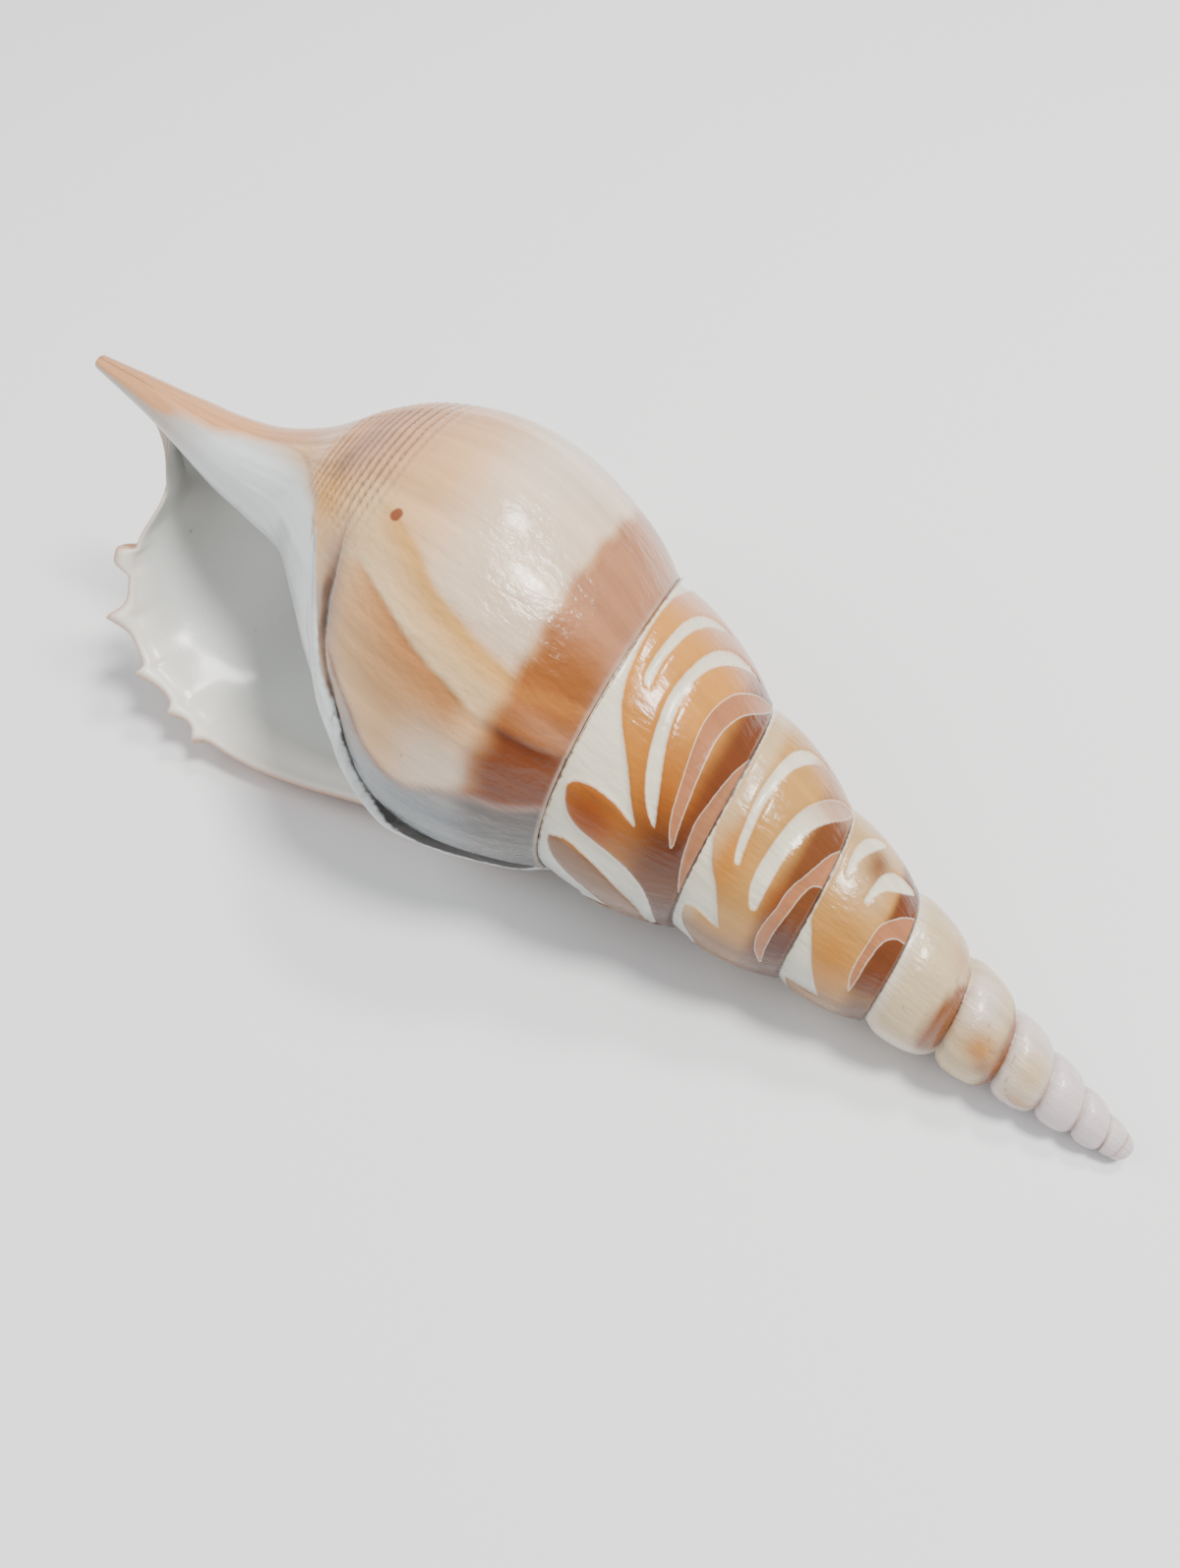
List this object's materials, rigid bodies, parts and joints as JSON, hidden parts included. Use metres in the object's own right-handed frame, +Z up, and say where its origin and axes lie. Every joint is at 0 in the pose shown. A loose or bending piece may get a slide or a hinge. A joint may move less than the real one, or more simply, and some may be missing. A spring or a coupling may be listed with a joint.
{
  "type": "carved tibia shell",
  "caption": "Spindle-shaped sea snail shell with a long spire carved in flame-like blades, a straight canal, an open mouth and a flared outer lip with short points, lying at rest.",
  "frame": {"origin": "middle of the bottom of the bounding box, on the surface that the shell rests on", "axes": "+X along the length, from the canal to the apex; +Z up; the outer lip lies on the -Y side"},
  "size_m": [0.1494, 0.0494, 0.0481],
  "materials": {
    "shell": "polished natural shell, cream to orange tan, with brown and violet shading in the carving"
  },
  "bodies": {
    "root": {"shell": "shell"}
  },
  "joints": []
}
